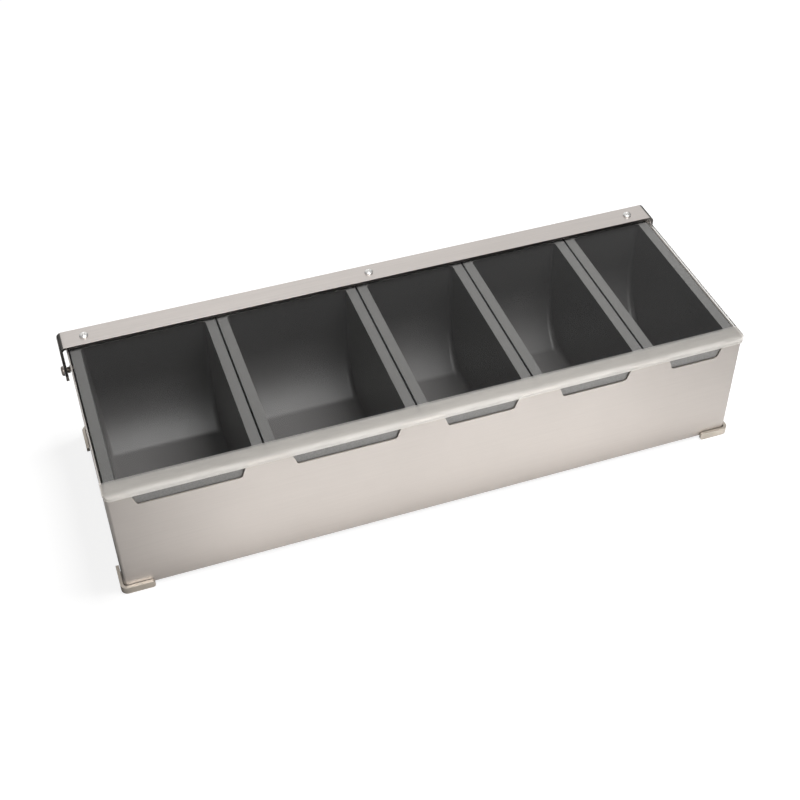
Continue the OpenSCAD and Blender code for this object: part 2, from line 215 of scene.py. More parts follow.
tray_edge = 0.22 * mm
steel_colour = (0.54, 0.500, 0.468, 1.0)
steel_roughness = 0.36
steel_brushing = 0.72
steel_across = 0.25
# Sawn edges and bends are painted down to this share: painted shade on the edges, a painted dark
# reflection on the bends.
steel_cut_and_painted_shade = 0.16
# Length and width of the scratches and of the wider bands, in millimetres.
steel_scratch = (30.0, 0.28)
steel_band = (140.0, 1.6)
steel_band_share = 0.4
steel_cloud = 0.025
steel_rough_play = 0.03
steel_relief = 0.01 * mm
tray_corner = 1.8 * mm
corner_rounds = 5
weld_gap = 0.002 * mm
flat_angle = 0.4
corner_slack = 0.01 * mm
noise_span = (0.3, 0.7)


def copied(name, node):
    """A new mesh object with a CAD node's form, its loose triangles joined and flat faces whole."""
    mesh = bpy.data.meshes.new(name)
    bm = bmesh.new()
    bm.from_mesh(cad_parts[node].data)
    bmesh.ops.remove_doubles(bm, verts=bm.verts, dist=weld_gap)
    bmesh.ops.dissolve_limit(
        bm, angle_limit=math.radians(flat_angle), verts=bm.verts, edges=bm.edges,
        delimit={"NORMAL"})
    bm.to_mesh(mesh)
    bm.free()
    piece = bpy.data.objects.new(name, mesh)
    bpy.context.scene.collection.objects.link(piece)
    return piece


def plain(piece):
    """Makes the evaluated form of a piece its own plain mesh, with no modifiers left."""
    evaluated = piece.evaluated_get(bpy.context.evaluated_depsgraph_get())
    ready = bpy.data.meshes.new_from_object(evaluated)
    old = piece.data
    piece.modifiers.clear()
    piece.data = ready
    bpy.data.meshes.remove(old)
    ready.name = piece.name
    return piece


def smoothed(piece, angle=32.0):
    """Smooth shading, crisp where faces meet at more than the angle, true on wide flat faces."""
    piece.data.shade_smooth()
    piece.data.set_sharp_from_angle(angle=math.radians(angle))
    weigh = piece.modifiers.new("weighed", "WEIGHTED_NORMAL")
    weigh.mode = "FACE_AREA"
    weigh.weight = 100
    weigh.keep_sharp = True
    return plain(piece)


def eased(piece, width, rounds=2, angle=35.0):
    """Rounds the sharp edges of a piece over the width and makes the result plain mesh."""
    bevel = piece.modifiers.new("eased", "BEVEL")
    bevel.width = width
    bevel.segments = rounds
    bevel.limit_method = "ANGLE"
    bevel.angle_limit = math.radians(angle)
    bevel.use_clamp_overlap = True
    return smoothed(plain(piece))


def turned_corners(piece, radius):
    """Rounds the upright outer corners of a folded box."""
    bm = bmesh.new()
    bm.from_mesh(piece.data)
    wide = max(abs(v.co.x) for v in bm.verts) - corner_slack
    front = min(v.co.y for v in bm.verts) + corner_slack
    back = max(v.co.y for v in bm.verts) - corner_slack
    corners = [e for e in bm.edges if all(
        abs(v.co.x) > wide and (v.co.y < front or v.co.y > back) for v in e.verts)]
    bmesh.ops.bevel(
        bm, geom=corners, offset=radius, segments=corner_rounds, profile=0.5, affect="EDGES")
    bm.to_mesh(piece.data)
    bm.free()
    return piece


def grained(piece):
    """Lays a grain map on a piece in metres: U along the brushing, V across it. The brushing
    runs along X, and up and down on faces that look along X."""
    layer = piece.data.uv_layers.new(name="grain")
    corners = piece.data.vertices
    for face in piece.data.polygons:
        lean = [abs(c) for c in face.normal]
        if lean[0] > max(lean[1], lean[2]):
            along, across = 2, 1
        else:
            along, across = (0, 2) if lean[1] > lean[2] else (0, 1)
        for loop in face.loop_indices:
            spot = corners[piece.data.loops[loop].vertex_index].co
            layer.data[loop].uv = (spot[along], spot[across])
    return piece


def finish(name):
    """A new node material, its adding function and its main shader, already wired to the output."""
    material = bpy.data.materials.new(name)
    material.use_nodes = True
    add = blank_nodes(material.node_tree)
    shader = add("ShaderNodeBsdfPrincipled")
    add("ShaderNodeOutputMaterial", Surface=shader.outputs[0])
    return material, add, shader


def joined(material, output, node, inlet):
    """Links an output to a node's named inlet."""
    material.node_tree.links.new(output, node.inputs[inlet])


def brushed(name, colour, roughness, brushing, depth, contrast):
    """Brushed sheet steel: fine scratches and wider bands along the grain, and clouds of tone.
    It is painted darker on the faces a piece marks: sawn edges, partly as duller steel and partly
    as painted shade, and bends, as a painted dark reflection."""
    material, add, shader = finish(name)
    shader.inputs["Metallic"].default_value = 1.0
    shader.inputs["Anisotropic"].default_value = brushing
    shader.inputs["Anisotropic Rotation"].default_value = steel_across
    grain = add("ShaderNodeUVMap", {"uv_map": "grain"}).outputs[0]

    def streaks(along, across, detail):
        spread = add("ShaderNodeMapping", Vector=grain,
                     Scale=(1 / (along * mm), 1 / (across * mm), 1))
        return add("ShaderNodeTexNoise", {"noise_dimensions": "2D"},
                   Vector=spread.outputs[0], Scale=1.0, Detail=detail, Roughness=0.6).outputs[0]

    fine = streaks(*steel_scratch, detail=2.0)
    wide = streaks(*steel_band, detail=3.0)
    wear_and_painted_shade = add("ShaderNodeTexNoise", Vector=add("ShaderNodeTexCoord").outputs["Object"],
               Scale=14.0, Detail=3.0).outputs[0]
    blend = add("ShaderNodeMix", {"data_type": "FLOAT"},
                i0=steel_band_share, i2=fine, i3=wide).outputs[0]
    tone = span(add, blend, *noise_span, 1 - contrast, 1 + contrast)
    cloud = span(add, wear_and_painted_shade, *noise_span, 1 - steel_cloud, 1 + steel_cloud)
    # Marked faces are painted darker: painted shade on sawn edges, a painted dark reflection on
    # bends.
    cut = add("ShaderNodeAttribute", {"attribute_name": "cut"}).outputs["Fac"]
    level = add("ShaderNodeMath", {"operation": "MULTIPLY"}, i0=tone, i1=cloud).outputs[0]
    level = add("ShaderNodeMath", {"operation": "MULTIPLY"},
                i0=level, i1=span(add, cut, 0.0, 1.0, 1.0, steel_cut_and_painted_shade)).outputs[0]
    paint = add("ShaderNodeMix", {"data_type": "RGBA", "blend_type": "MULTIPLY"},
                i0=1.0, i6=colour, i7=level)
    joined(material, paint.outputs[2], shader, "Base Color")
    rough = span(add, blend, *noise_span,
                 roughness - steel_rough_play, roughness + steel_rough_play)
    joined(material, rough, shader, "Roughness")
    bump = add("ShaderNodeBump", Strength=depth, Distance=steel_relief, Height=blend)
    joined(material, bump.outputs[0], shader, "Normal")
    tangent = add("ShaderNodeTangent", {"direction_type": "UV_MAP", "uv_map": "grain"})
    joined(material, tangent.outputs[0], shader, "Tangent")
    return material


sheet_steel = brushed("sheet_steel", steel_colour, steel_roughness, steel_brushing,
                      depth=0.15, contrast=0.035)

tray = grained(eased(turned_corners(copied("tray_sheet", "tray"), tray_corner), tray_edge))
tray.data.materials.clear()
tray.data.materials.append(sheet_steel)
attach(tray, "tray")
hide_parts("tray")


# ---- Bins ------------------------------------------------------------------------------------
# Five moulded grey plastic bins that drop in side by side. Each is a scooped well with drafted
# walls, hung inside a flat rim with a skirt. Rim and skirt have a fine matt texture, and the
# well is smooth.

rim_side = 7.0 * mm
rim_end = 10.0 * mm
rim_thick = 2.0 * mm
rim_corner = 2.0 * mm
rim_lip = 0.4 * mm
rim_lip_steps = 3
skirt_drop = 14.0 * mm
skirt_corner = 0.6 * mm
skirt_thick = 1.8 * mm
skirt_flare = 0.7 * mm
# Each bin is a little narrower than its place, so that a dark gap shows between two rims.
bin_shy = 0.22 * mm
rim_raise = 0.4 * mm
well_wall = 2.2 * mm
well_floor = 2.6 * mm
well_draft = 2.0 * mm
well_end_draft = 0.9 * mm
well_top_round = 2.4 * mm
well_foot_round = 4.5 * mm
# Share of the well's depth above which its corners keep the top's tighter rounding.
well_round_full = 0.8
well_steps = 4
outside_steps = 12
bin_crease = 24.0
scoop_radius = 58.0 * mm
scoop_foot = 26.5 * mm
scoop_ease = 8.0 * mm
scoop_steps = 16
ease_steps = 6
round_steps = 8
plastic_colour = (0.104, 0.100, 0.0985, 1.0)
# Rim and skirt are painted paler than the well: partly their grain, partly painted light.
plastic_grain_and_painted_light_colour = (0.130, 0.127, 0.1235, 1.0)
plastic_roughness = 0.46
plastic_roughness_grain = 0.10
plastic_roughness_rub = 0.08
plastic_shine = 0.4
# The skirts' faces are painted lighter by this much, as painted light from the front.
skirt_painted_light = 1.75
# How far behind the rim's and the skirt's face the grain, the paler paint and the skirt's painted
# light start, and where they are full.
plastic_fade = (0.6 * mm, 0.2 * mm)
plastic_grain = 800.0
plastic_grain_tone = 0.15
plastic_grain_relief = 0.04 * mm
plastic_rub = 16.0
plastic_rub_tone = 0.03
plastic_flow = (9, 60, 60)
plastic_flow_tone = 0.02


def ring(half_w, half_d, radius, height, centre):
    """A closed loop of points: a rectangle with rounded corners at one height."""
    radius = max(min(radius, half_w, half_d), 0.01 * mm)
    points = []
    for quarter, (sx, sy) in enumerate(((1, 1), (-1, 1), (-1, -1), (1, -1))):
        for step in range(round_steps + 1):
            turn = math.pi / 2 * (quarter + step / round_steps)
            points.append((
                centre.x + sx * (half_w - radius) + radius * math.cos(turn),
                centre.y + sy * (half_d - radius) + radius * math.sin(turn),
                height))
    return points


# The scoop's arc ends where a tighter arc takes over, which eases it into the floor.
scoop_last = math.acos((scoop_radius - scoop_foot) / (scoop_radius - scoop_ease))
scoop_rise = (scoop_radius - scoop_ease) * math.sin(scoop_last) + scoop_ease


def scoop_side(half_d, floor, top):
    """Side view of a well, front to back: points and the way each faces. Straight walls run
    into wide scoops, which ease into the flat floor."""
    front = []
    for k in range(well_steps):
        h = (top - floor) - (top - floor - scoop_rise) * k / well_steps
        front.append((-(half_d - well_end_draft * (1 - h / (top - floor))), floor + h, 0.0))
    wall = half_d - well_end_draft * (1 - scoop_rise / (top - floor))
    for k in range(scoop_steps + 1):
        turn = scoop_last * k / scoop_steps
        front.append((-(wall - scoop_radius * (1 - math.cos(turn))),
                      floor + scoop_rise - scoop_radius * math.sin(turn), turn))
    for k in range(1, ease_steps + 1):
        turn = scoop_last + (math.pi / 2 - scoop_last) * k / ease_steps
        front.append((-(wall - scoop_foot + scoop_ease * math.cos(turn)),
                      floor + scoop_ease * (1 - math.sin(turn)), turn))
    side = [(y, z, math.cos(t), math.sin(t)) for y, z, t in front]
    return side + [(-y, z, -ny, nz) for y, z, ny, nz in reversed(side)]


def well_points(half_w, half_d, floor, top, centre):
    """Rows of points across a well, one row for each point of its side view. Each row runs from
    the left wall over a rounded foot to the right wall, with the rounding tighter at the top."""
    rows = []
    for y, z, ny, nz in scoop_side(half_d, floor, top):
        high = min((z - floor) / (top - floor) / well_round_full, 1.0)
        radius = well_foot_round + (well_top_round - well_foot_round) * high
        row = []
        for sign, turns in ((-1, range(round_steps, -1, -1)), (1, range(round_steps + 1))):
            for step in turns:
                turn = math.pi / 2 * step / round_steps
                lift = radius * (1 - math.cos(turn))
                tall = z + nz * lift
                wide = half_w - well_draft * (1 - (tall - floor) / (top - floor))
                row.append((centre.x + sign * (wide - radius + radius * math.sin(turn)),
                            centre.y + y + ny * lift, tall))
        rows.append(row)
    return rows


def bin_body(name, rows, rings, under_rings):
    """The closed shell of a bin: the well inside, the rim's rings and the outside under it."""
    across = len(rows[0])
    half = across // 2
    points = [p for row in rows for p in row]
    faces = []
    for r in range(len(rows) - 1):
        here, there = r * across, (r + 1) * across
        faces += [(here + k, here + k + 1, there + k + 1, there + k) for k in range(across - 1)]
    faces.append(tuple(r * across for r in range(len(rows))))
    faces.append(tuple(r * across + across - 1 for r in reversed(range(len(rows)))))
    last = (len(rows) - 1) * across
    loop = [last + k for k in range(across - 1, half - 1, -1)]
    loop += [last + k for k in range(half - 1, -1, -1)]
    loop += list(range(half)) + list(range(half, across))
    for ring_points in rings + under_rings:
        start = len(points)
        points += ring_points
        nxt = list(range(start, start + len(ring_points)))
        faces += [(loop[i], loop[(i + 1) % len(loop)], nxt[(i + 1) % len(loop)], nxt[i])
                  for i in range(len(loop))]
        loop = nxt
    faces.append(tuple(loop))
    mesh = bpy.data.meshes.new(name)
    bm = bmesh.new()
    made = [bm.verts.new(p) for p in points]
    for face in faces:
        bm.faces.new([made[i] for i in face])
    bmesh.ops.recalc_face_normals(bm, faces=bm.faces)
    bm.to_mesh(mesh)
    bm.free()
    piece = bpy.data.objects.new(name, mesh)
    bpy.context.scene.collection.objects.link(piece)
    return smoothed(piece, bin_crease)


def moulded(name, colour, grain_and_painted_light_colour, roughness, rim_height, skirt_front):
    """Matt moulded plastic: a spark-eroded grain on the rim and skirt, nearly smooth in the well,
    with faint flow marks and rubbed patches. Rim and skirt are painted paler, partly as their grain
    and partly as painted light, and the skirts' faces lighter still, as painted light from the
    front."""
    material, add, shader = finish(name)
    shader.inputs["Specular IOR Level"].default_value = plastic_shine
    place = add("ShaderNodeTexCoord").outputs["Object"]
    spot = add("ShaderNodeSeparateXYZ", Vector=place).outputs

    def beyond(value, edge, to_low=0.0, to_high=1.0):
        return span(add, value, edge - plastic_fade[0], edge - plastic_fade[1], to_low, to_high)

    front = add("ShaderNodeMath", {"operation": "ABSOLUTE"}, i0=spot["Y"]).outputs[0]
    matt = any_of(add, beyond(spot["Z"], rim_height), beyond(front, skirt_front))
    grain = add("ShaderNodeTexNoise", Vector=place, Scale=plastic_grain, Detail=3.0,
                Roughness=0.65).outputs[0]
    rubbed = add("ShaderNodeTexNoise", Vector=place, Scale=plastic_rub, Detail=3.0).outputs[0]
    drawn = add("ShaderNodeMapping", Vector=place, Scale=plastic_flow).outputs[0]
    flow = add("ShaderNodeTexNoise", Vector=drawn, Scale=1.0, Detail=2.0).outputs[0]
    speckle = span(add, grain, *noise_span, -plastic_grain_tone, plastic_grain_tone)
    offset = add("ShaderNodeMath", {"operation": "MULTIPLY"}, i0=speckle, i1=matt).outputs[0]
    cloud = add("ShaderNodeMath", {"operation": "ADD"},
                i0=span(add, rubbed, *noise_span, -plastic_rub_tone, plastic_rub_tone),
                i1=span(add, flow, *noise_span, 1 - plastic_flow_tone, 1 + plastic_flow_tone),
                ).outputs[0]
    level = add("ShaderNodeMath", {"operation": "ADD"}, i0=offset, i1=cloud).outputs[0]
    # The skirts' faces are painted lighter, as painted light from the front.
    level = add("ShaderNodeMath", {"operation": "MULTIPLY"},
                i0=level, i1=beyond(front, skirt_front, 1.0, skirt_painted_light)).outputs[0]
    # Rim and skirt take the paler colour: partly their grain, partly painted light.
    base = add("ShaderNodeMix", {"data_type": "RGBA"},
               i0=matt, i6=colour, i7=grain_and_painted_light_colour).outputs[2]
    paint = add("ShaderNodeMix", {"data_type": "RGBA", "blend_type": "MULTIPLY"},
                i0=1.0, i6=base, i7=level)
    joined(material, paint.outputs[2], shader, "Base Color")
    rough = add("ShaderNodeMath", {"operation": "ADD"},
                i0=span(add, rubbed, *noise_span, roughness - plastic_roughness_rub, roughness),
                i1=span(add, matt, 0.0, 1.0, 0.0, plastic_roughness_grain)).outputs[0]
    joined(material, rough, shader, "Roughness")
    bump = add("ShaderNodeBump", Strength=span(add, matt, 0.0, 1.0, 0.0, 0.35),
               Distance=plastic_grain_relief, Height=grain)
    joined(material, bump.outputs[0], shader, "Normal")
    return material


grey_plastic = moulded("grey_plastic", plastic_colour, plastic_grain_and_painted_light_colour, plastic_roughness,
                       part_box("bin_1")[1].z, -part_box("bin_1")[0].y)

for number in range(1, 6):
    node = f"bin_{number}"
    low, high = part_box(node)
    low.x += 2 * bin_shy if number == 1 else bin_shy
    high.x += 3 * bin_shy if number == 5 else -bin_shy
    high.z += rim_raise
    centre = (low + high) / 2
    half_w, half_d = (high.x - low.x) / 2, (high.y - low.y) / 2
    well_w, well_d = half_w - rim_side, half_d - rim_end
    floor_in, rim_top = low.z + well_floor, high.z
    under, lip_low = rim_top - rim_thick, rim_top - rim_lip
    skirt_low = rim_top - skirt_drop
    well = well_points(well_w, well_d, floor_in, lip_low, centre)
    rim = []
    for k in range(1, rim_lip_steps + 1):
        turn = math.pi / 2 * k / rim_lip_steps
        out = rim_lip * (1 - math.cos(turn))
        rim.append(ring(well_w + out, well_d + out, well_top_round + out,
                        lip_low + rim_lip * math.sin(turn), centre))
    for k in range(rim_lip_steps + 1):
        turn = math.pi / 2 * k / rim_lip_steps
        out = rim_lip * (1 - math.sin(turn))
        rim.append(ring(half_w - out, half_d - out, rim_corner - out,
                        lip_low + rim_lip * math.cos(turn), centre))
    flared = half_d + skirt_flare
    rim += [ring(half_w, flared, rim_corner, skirt_low, centre),
            ring(half_w - skirt_thick, flared - skirt_thick, skirt_corner, skirt_low, centre),
            ring(half_w - skirt_thick, half_d - skirt_thick, skirt_corner, under, centre)]
    outer = scoop_radius + well_wall
    outer_last = math.asin((scoop_rise + well_floor) / outer)
    outside = []
    for k in range(outside_steps + 1):
        turn = outer_last * max(k - 1, 0) / (outside_steps - 1)
        h = scoop_rise - outer * math.sin(turn) if k else under - floor_in
        end = outer * (1 - math.cos(turn))
        side = max(well_foot_round - max(h, 0.0), 0.0)
        side = well_foot_round - math.sqrt(well_foot_round ** 2 - side ** 2)
        narrow = 1 - h / (rim_top - floor_in)
        outside.append(ring(
            well_w + well_wall - well_draft * narrow - side,
            well_d + well_wall - well_end_draft * narrow - end,
            well_foot_round, floor_in + h, centre))
    bin_piece = bin_body(f"scooped_bin_{number}", well, rim, outside)
    bin_piece.data.materials.append(grey_plastic)
    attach(bin_piece, "tray")
    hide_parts(node)


# ---- Lid -------------------------------------------------------------------------------------
# One clear plastic sheet, its front edge rolled down into a short lip. The last centimetre and
# the lip are frosted, so that fingers find them. It is riveted under the hinge bar.

lid_edge = 0.35 * mm
clear_tint = (0.975, 0.985, 0.98, 1.0)
clear_veil = (0.97, 0.97, 0.97, 1.0)
clear_roughness = 0.02
clear_bend = 1.30
frost_back = -66.3 * mm
frost_soft = 0.5 * mm
frost_lip_top = -76.0 * mm
frost_lip_foot = -79.5 * mm
frost_tint = (0.92, 0.892, 0.849, 1.0)
frost_veil = (0.75, 0.735, 0.715, 1.0)
# Light that the frosting lets through, above the lip and at its rear edge.
frost_passes = (0.80, 0.86)
frost_lip_blocks = 0.23
frost_roughness = (0.42, 0.60)
frost_relief = 0.02 * mm
frost_streak = (60, 700, 400)
frost_cloud = (45, 260, 260)
frost_smear = 0.07
# The frosting is painted darker towards its right-hand end, as painted shade.
frost_painted_shade = 0.82
frost_painted_shade_fade = (0.04, 0.20)
sawn_fade = (0.3 * mm, 0.1 * mm)

lid = eased(copied("lid_sheet", "lid"), lid_edge)
clear_sheet, add, shader = finish("clear_sheet")
place = add("ShaderNodeTexCoord").outputs["Object"]
spot = add("ShaderNodeSeparateXYZ", Vector=place)
drawn = add("ShaderNodeMapping", Vector=place, Scale=frost_streak).outputs[0]
streak = add("ShaderNodeTexNoise", Vector=drawn, Scale=1.0, Detail=3.0).outputs[0]
# The right-hand end is left as sawn, as dull as the frosted front.
lid_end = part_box("lid")[1].x
sawn = span(add, spot.outputs["X"], lid_end - sawn_fade[0], lid_end - sawn_fade[1])
strip = span(add, spot.outputs["Y"], frost_back - frost_soft, frost_back, 1.0, 0.0)
frost = any_of(add, strip, sawn)
patchy = add("ShaderNodeMapping", Vector=place, Scale=frost_cloud).outputs[0]
smear = add("ShaderNodeTexNoise", Vector=patchy, Scale=1.0, Detail=4.0, Roughness=0.6).outputs[0]
# Random smears, and the frosting painted darker towards the right-hand end, as painted shade.
wear_and_painted_shade = add("ShaderNodeMath", {"operation": "MULTIPLY"},
           i0=span(add, smear, *noise_span, 1 - frost_smear, 1 + frost_smear),
           i1=span(add, spot.outputs["X"], *frost_painted_shade_fade, 1.0, frost_painted_shade)).outputs[0]
frosted = add("ShaderNodeMix", {"data_type": "RGBA", "blend_type": "MULTIPLY"},
              i0=1.0, i6=frost_tint, i7=wear_and_painted_shade).outputs[2]
tint = add("ShaderNodeMix", {"data_type": "RGBA"}, i0=frost, i6=clear_tint, i7=frosted)
joined(clear_sheet, tint.outputs[2], shader, "Base Color")
# The frosting thickens towards the lip, which shows whitest.
thin = span(add, spot.outputs["Y"], frost_lip_top, frost_back, *frost_passes)
lip = span(add, spot.outputs["Y"], frost_lip_foot, frost_lip_top, frost_lip_blocks, 0.0)
passes = add("ShaderNodeMath", {"operation": "SUBTRACT"}, i0=thin, i1=lip).outputs[0]
passes = add("ShaderNodeMix", {"data_type": "FLOAT"}, i0=frost, i2=1.0, i3=passes).outputs[0]
joined(clear_sheet, passes, shader, "Transmission Weight")
haze = span(add, streak, *noise_span, *frost_roughness)
rough = add("ShaderNodeMix", {"data_type": "FLOAT"}, i0=frost, i2=clear_roughness, i3=haze)
joined(clear_sheet, rough.outputs[0], shader, "Roughness")
bump = add("ShaderNodeBump", Distance=frost_relief, Height=streak)
joined(clear_sheet, frost, bump, "Strength")
joined(clear_sheet, bump.outputs[0], shader, "Normal")
shader.inputs["IOR"].default_value = clear_bend
shader.inputs["Specular Tint"].default_value = (0, 0, 0, 1)
# Lamp and soft-light rays pass the sheet unbent, so that what lies under it is lit.
path = add("ShaderNodeLightPath").outputs
mirrored = add("ShaderNodeMath", {"operation": "SUBTRACT", "use_clamp": True},
               i0=path["Is Glossy Ray"], i1=path["Is Transmission Ray"]).outputs[0]
loose = any_of(add, path["Is Shadow Ray"], path["Is Diffuse Ray"], mirrored)
veil = add("ShaderNodeMix", {"data_type": "RGBA"}, i0=frost, i6=clear_veil, i7=frost_veil)
through = add("ShaderNodeBsdfTransparent", Color=veil.outputs[2])
both = add("ShaderNodeMixShader", i0=loose, i1=shader.outputs[0], i2=through.outputs[0])
output = next(n for n in clear_sheet.node_tree.nodes if n.type == "OUTPUT_MATERIAL")
joined(clear_sheet, both.outputs[0], output, "Surface")
lid.data.materials.clear()
lid.data.materials.append(clear_sheet)
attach(lid, "lid")
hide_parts("lid")


# ---- Hinge bar -------------------------------------------------------------------------------
# A stainless strip across the rear of the lid, its ends bent down into round-ended arms that
# turn on the pivot screws. Brushed along the strip, so the grain runs down the arms.

bar_edge = 0.4 * mm
# The bends' painted dark reflection reaches this far down from the bar's top, and the sawn edges'
# painted shade stops this far in from its ends.
bar_bend_drop = 5.0 * mm
bar_bend_in = 2.5 * mm
strip_colour = (0.66, 0.614, 0.582, 1.0)


def marked_cut_and_painted_shade(piece, rule):
    """Marks the faces that the rule picks, by middle and normal, to be painted darker: sawn edges
    as partly duller steel and partly painted shade, bends as a painted dark reflection.
    """
    cut = piece.data.attributes.new("cut", "FLOAT", "FACE")
    cut.data.foreach_set("value", [rule(f.center, f.normal) for f in piece.data.polygons])
    return piece


bar_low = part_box("hinge_bar")[1].z - bar_bend_drop
bar_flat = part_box("hinge_bar")[1].x - bar_bend_in


def strip_cut_and_painted_shade(middle, normal):
    """One on the strip's two sawn long edges and on the bends down into the arms, which are painted
    darker: painted shade on the edges, partly their duller steel too, and a painted dark reflection
    on the bends.
    """
    long_edge = abs(normal.y) > 0.9 and abs(middle.x) < bar_flat
    bend = middle.z > bar_low and 0.3 < abs(normal.x) < 0.9
    return float(long_edge or bend)


bar = grained(eased(copied("hinge_strip", "hinge_bar"), bar_edge, rounds=3))
marked_cut_and_painted_shade(bar, strip_cut_and_painted_shade)
strip_steel = brushed("strip_steel", strip_colour, roughness=0.34, brushing=0.7,
                      depth=0.3, contrast=0.06)
bar.data.materials.clear()
bar.data.materials.append(strip_steel)
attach(bar, "lid")
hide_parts("hinge_bar")


# ---- Lid rivets ------------------------------------------------------------------------------
# Three domed blind rivets of bright steel through the bar and the lid. Each head has the small
# pit that its mandrel left, and a set end that sits in the lid's underside.

turn_steps = 40
rivet_pit = 0.75 * mm
rivet_pit_deep = 0.45 * mm
rivet_nail = 0.45 * mm
rivet_head_thin = 0.35 * mm
rivet_ease = 0.2 * mm
rivet_pit_ease = 0.15 * mm
rivet_pit_chamfer = 0.1 * mm
turned_crease = 28.0
plated_grain = 2200.0
plated_cloud = 160.0
plated_relief = 0.01 * mm


def turned(name, profile, sides=turn_steps):
    """A closed solid turned about Z from a list of (radius, height) points, axis to axis.
    A point's third value, when given, makes that ring a hexagon by so much."""
    mesh = bpy.data.meshes.new(name)
    bm = bmesh.new()
    loops = []
    for entry in profile:
        radius, height = entry[:2]
        hexed = entry[2] if len(entry) > 2 else 0.0
        if radius <= 0:
            loops.append([bm.verts.new((0, 0, height))])
            continue
        loop = []
        for k in range(sides):
            turn = 2 * math.pi * k / sides
            off = (turn + math.pi / 6) % (math.pi / 3) - math.pi / 6
            flat = math.cos(math.pi / 6) / math.cos(math.pi / 6 - abs(off))
            reach = radius * (1 - hexed + hexed * flat)
            loop.append(bm.verts.new((reach * math.cos(turn), reach * math.sin(turn), height)))
        loops.append(loop)
    for a, b in zip(loops, loops[1:]):
        for k in range(sides):
            n = (k + 1) % sides
            if len(a) == 1:
                bm.faces.new((a[0], b[n], b[k]))
            elif len(b) == 1:
                bm.faces.new((a[k], a[n], b[0]))
            else:
                bm.faces.new((a[k], a[n], b[n], b[k]))
    bmesh.ops.recalc_face_normals(bm, faces=bm.faces)
    bm.to_mesh(mesh)
    bm.free()
    piece = bpy.data.objects.new(name, mesh)
    bpy.context.scene.collection.objects.link(piece)
    return smoothed(piece, turned_crease)


def arc(r0, z0, r1, z1, steps=8):
    """Points of a quarter round from (r0, z0) at the rim to (r1, z1) at the crown."""
    return [(r1 + (r0 - r1) * math.cos(math.pi / 2 * k / steps),
             z0 + (z1 - z0) * math.sin(math.pi / 2 * k / steps)) for k in range(steps + 1)]


def plated(name, colour, roughness, speckle):
    """Bright or satin plated steel with a fine tumbled surface."""
    material, add, shader = finish(name)
    shader.inputs["Metallic"].default_value = 1.0
    place = add("ShaderNodeTexCoord").outputs["Object"]
    fine = add("ShaderNodeTexNoise", Vector=place, Scale=plated_grain, Detail=2.0).outputs[0]
    broad = add("ShaderNodeTexNoise", Vector=place, Scale=plated_cloud, Detail=3.0).outputs[0]
    tone = span(add, broad, *noise_span, 1 - speckle, 1 + speckle)
    paint = add("ShaderNodeMix", {"data_type": "RGBA", "blend_type": "MULTIPLY"},
                i0=1.0, i6=colour, i7=tone)
    joined(material, paint.outputs[2], shader, "Base Color")
    rough = span(add, fine, *noise_span, roughness - 0.04, roughness + 0.06)
    joined(material, rough, shader, "Roughness")
    bump = add("ShaderNodeBump", Strength=0.2, Distance=plated_relief, Height=fine)
    joined(material, bump.outputs[0], shader, "Normal")
    return material


bright_steel = plated("bright_steel", (0.84, 0.83, 0.81, 1.0), roughness=0.36, speckle=0.03)

rivet_nodes = ["lid_rivet_left", "lid_rivet_middle", "lid_rivet_right"]
low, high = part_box(rivet_nodes[0])
bar_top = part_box("hinge_bar")[1].z
head_r = (high.x - low.x) / 2
rivet_spot = Vector(((low.x + high.x) / 2, (low.y + high.y) / 2, 0))
rivet_step = (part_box(rivet_nodes[2])[0].x - low.x) / 2
tail_r = 2.5 * mm
tail_h = 1.1 * mm
shank_r = 1.6 * mm
crown = arc(head_r, bar_top + rivet_head_thin, rivet_pit + rivet_pit_ease, high.z)
rivet = turned("lid_rivet_blank", [
    (0, low.z), (tail_r - rivet_ease, low.z), (tail_r, low.z + rivet_ease),
    (tail_r, low.z + tail_h), (shank_r, low.z + tail_h), (shank_r, bar_top),
    (head_r, bar_top)] + crown + [
    (rivet_pit, high.z - rivet_pit_chamfer), (rivet_pit * 0.9, high.z - rivet_pit_deep),
    (rivet_nail, high.z - rivet_pit_deep), (rivet_nail * 0.8, high.z - rivet_pit_deep * 0.5),
    (0, high.z - rivet_pit_deep * 0.45)])


